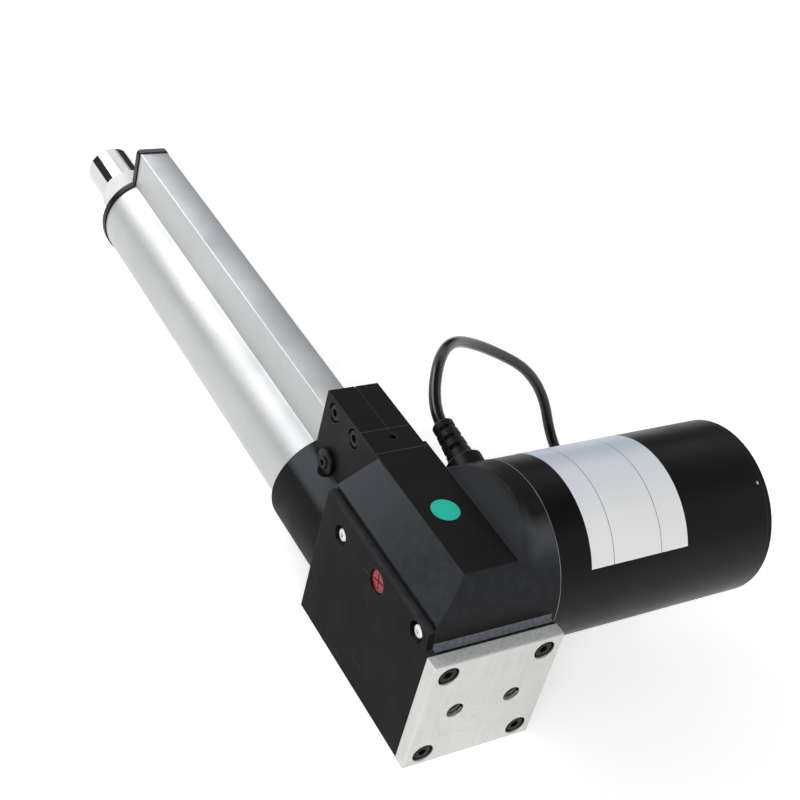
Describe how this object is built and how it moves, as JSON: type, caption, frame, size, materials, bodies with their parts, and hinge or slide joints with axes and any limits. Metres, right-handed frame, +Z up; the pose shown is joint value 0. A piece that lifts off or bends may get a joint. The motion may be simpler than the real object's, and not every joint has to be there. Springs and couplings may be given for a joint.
{
  "type": "electric linear actuator",
  "caption": "Electric linear actuator: a side-mounted motor turns a worm gear and screw spindle that push a chromed rod out of an aluminium tube with a switch channel.",
  "frame": {"origin": "midpoint of the two tapped fixing holes, on the outer face of the rear plate", "axes": "+X along the motor, +Y along the tube towards the rod end, +Z up from the foot of the housing"},
  "size_m": [0.1595, 0.381, 0.0867],
  "materials": {
    "housing_black": "fine satin moulded",
    "cover_black": "satin moulded",
    "plate_steel": "milled, bright zinc",
    "screw_black": "black oxide",
    "tube_aluminium": "satin anodised",
    "cap_black": "gloss",
    "bush_white": "smooth",
    "rod_chrome": "polished",
    "nut_plastic": "smooth",
    "bright_steel": "ground",
    "wheel_bronze": "cut",
    "motor_black": "satin black paint",
    "plain_steel": "plain",
    "bronze": "sintered",
    "plug_red": "smooth",
    "bolt_zinc": "bright zinc",
    "magnet_grey": "sintered",
    "core_steel": "laminated",
    "winding_copper": "enamelled",
    "commutator_copper": "turned",
    "card_brown": "pressed card",
    "carbon": "carbon",
    "board_green": "solder mask",
    "switch_black": "moulded",
    "cable_black": "glossy sheath",
    "tie_black": "moulded",
    "connector_black": "moulded"
  },
  "bodies": {
    "housing": {"gear_housing": "housing_black", "side_cover": "cover_black", "rear_plate": "plate_steel", "plate_screws": "screw_black", "outer_tube": "tube_aluminium", "end_cap": "cap_black", "guide_bush": "bush_white", "rear_bearing": "plain_steel", "front_bearing": "plain_steel", "motor_can": "motor_black", "motor_flange": "plain_steel", "motor_end_cap": "motor_black", "motor_front_bush": "bronze", "motor_rear_bush": "bronze", "worm_bush": "bronze", "worm_plug": "plug_red", "motor_bolts": "bolt_zinc", "field_magnets": "magnet_grey", "brush_plate": "card_brown", "carbon_brushes": "carbon", "clamp_screws": "screw_black", "clamp_nuts": "screw_black", "lock_screw": "screw_black", "switch_board": "board_green", "limit_switches": "switch_black", "cable_gland": "connector_black", "cable": "cable_black", "cable_coil": "cable_black", "coil_tie": "tie_black", "cable_tail": "cable_black", "cable_plug": "connector_black"},
    "rod": {"extension_tube": "rod_chrome", "rod_end": "bright_steel", "spindle_nut": "nut_plastic"},
    "spindle": {"spindle": "bright_steel", "worm_wheel": "wheel_bronze", "wheel_lock_ring": "plain_steel"},
    "armature": {"motor_shaft": "bright_steel", "worm": "bright_steel", "armature_core": "core_steel", "armature_windings": "winding_copper", "commutator": "commutator_copper"}
  },
  "joints": [
    {"name": "armature_spin", "type": "hinge", "parent": "housing", "child": "armature", "pos_m": [0, 0.0433, 0.02525], "axis": [1, 0, 0], "range_deg": [0, 216000]},
    {"name": "spindle_spin", "type": "hinge", "parent": "housing", "child": "spindle", "pos_m": [0, 0.0433, -0.0022], "axis": [0, 1, 0], "range_deg": [-7200, 0]},
    {"name": "rod_slide", "type": "slide", "parent": "housing", "child": "rod", "axis": [0, 1, 0], "range_m": [0, 0.16]}
  ],
  "couplings": [
    {"joint": "spindle_spin", "follows": "armature_spin", "ratio": -0.033333},
    {"joint": "rod_slide", "follows": "armature_spin", "m_per_rad": 0.000042441}
  ]
}
